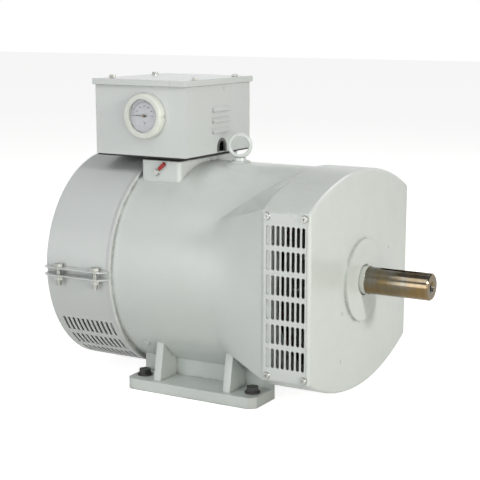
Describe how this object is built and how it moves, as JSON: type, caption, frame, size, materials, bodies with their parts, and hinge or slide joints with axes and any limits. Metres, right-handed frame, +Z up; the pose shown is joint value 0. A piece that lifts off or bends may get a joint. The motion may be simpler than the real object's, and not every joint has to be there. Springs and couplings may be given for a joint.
{
  "type": "generator alternator head",
  "caption": "Brush-fed alternator head: round cast frame on foot rails, square drive-end bracket with grilles, bare shaft end, terminal box with voltmeter.",
  "frame": {"origin": "middle of the four foot bolts, on the ground plane of the feet", "axes": "+X along the shaft towards its driven end, +Z up, +Y to the side away from the voltmeter"},
  "size_m": [0.598, 0.386, 0.4946],
  "materials": {
    "casting_paint": "gloss enamel on casting",
    "sheet_paint": "gloss enamel on sheet steel",
    "shaft_steel": "ground steel",
    "zinc": "zinc plated",
    "dark_steel": "black oxide",
    "painted_fastener": "painted over",
    "core_steel": "stacked laminations",
    "copper": "enamelled copper",
    "bearing_steel": "polished",
    "bronze": "turned bronze",
    "carbon": "pressed carbon",
    "phenolic": "moulded phenolic",
    "fan_alloy": "cast",
    "rubber": "matt",
    "trim_grey": "matt grey",
    "meter_case": "moulded",
    "dial_white": "printed",
    "meter_glass": "clear",
    "pointer_black": "satin",
    "red_sleeve": "insulating sleeve"
  },
  "bodies": {
    "stator": {"frame": "casting_paint", "drive_end_bracket": "casting_paint", "rear_bracket": "casting_paint", "shroud_upper": "sheet_paint", "shroud_lower": "sheet_paint", "shroud_strips": "sheet_paint", "rear_cover": "sheet_paint", "clamp_bolts": "zinc", "cover_screws": "painted_fastener", "tie_rods": "zinc", "grille_left": "sheet_paint", "grille_right": "sheet_paint", "grille_screws": "zinc", "foot_bolts": "dark_steel", "foot_washers": "dark_steel", "lifting_eye": "painted_fastener", "front_bearing_cap": "casting_paint", "bearing_cap_screws": "zinc", "front_bearing_outer_ring": "bearing_steel", "rear_bearing_outer_ring": "bearing_steel", "stator_core": "core_steel", "stator_winding": "copper", "brush_holder": "phenolic", "holder_screws": "zinc", "front_brush_spring": "zinc", "rear_brush_spring": "zinc", "terminal_box": "sheet_paint", "box_lid": "sheet_paint", "lid_gasket": "rubber", "lid_screws": "zinc", "box_pads": "rubber", "box_screws": "zinc", "cable_trim": "trim_grey", "meter_housing": "meter_case", "meter_dial": "dial_white", "meter_glass": "meter_glass", "meter_lock_ring": "phenolic", "terminal_board": "phenolic", "terminal_studs": "bronze", "rectifier": "phenolic", "rectifier_screw": "zinc", "earth_screw": "zinc", "earth_lug": "zinc", "earth_sleeve": "red_sleeve"},
    "rotor": {"shaft": "shaft_steel", "rotor_core": "core_steel", "field_coils": "copper", "fan": "fan_alloy", "ring_sleeve": "phenolic", "slip_rings": "bronze", "front_bearing_inner_ring": "bearing_steel", "rear_bearing_inner_ring": "bearing_steel"},
    "front_ball_set": {"front_bearing_balls": "bearing_steel", "front_bearing_cage": "zinc"},
    "rear_ball_set": {"rear_bearing_balls": "bearing_steel", "rear_bearing_cage": "zinc"},
    "front_brush": {"front_brush": "carbon"},
    "rear_brush": {"rear_brush": "carbon"},
    "meter_pointer": {"meter_pointer": "pointer_black"}
  },
  "joints": [
    {"name": "rotor_spin", "type": "hinge", "parent": "stator", "child": "rotor", "pos_m": [0, 0, 0.188], "axis": [1, 0, 0], "continuous": true},
    {"name": "front_balls_roll", "type": "hinge", "parent": "stator", "child": "front_ball_set", "pos_m": [0.2025, 0, 0.188], "axis": [1, 0, 0], "continuous": true},
    {"name": "rear_balls_roll", "type": "hinge", "parent": "stator", "child": "rear_ball_set", "pos_m": [-0.1825, 0, 0.188], "axis": [1, 0, 0], "continuous": true},
    {"name": "front_brush_slide", "type": "slide", "parent": "stator", "child": "front_brush", "axis": [0, 0, 1], "range_m": [0, 0.008], "stiffness_N_per_m": 120, "springref_m": -0.02, "deforming": ["front_brush_spring"]},
    {"name": "rear_brush_slide", "type": "slide", "parent": "stator", "child": "rear_brush", "axis": [0, 0, 1], "range_m": [0, 0.008], "stiffness_N_per_m": 120, "springref_m": -0.02, "deforming": ["rear_brush_spring"]},
    {"name": "meter_pointer_swing", "type": "hinge", "parent": "stator", "child": "meter_pointer", "pos_m": [-0.105, -0.112, 0.4345], "axis": [0, 1, 0], "range_deg": [0, 180], "stiffness_Nm_per_rad": 0.00002, "springref_deg": -5.73}
  ],
  "couplings": [
    {"joint": "front_balls_roll", "follows": "rotor_spin", "ratio": 0.38},
    {"joint": "rear_balls_roll", "follows": "rotor_spin", "ratio": 0.3826}
  ]
}
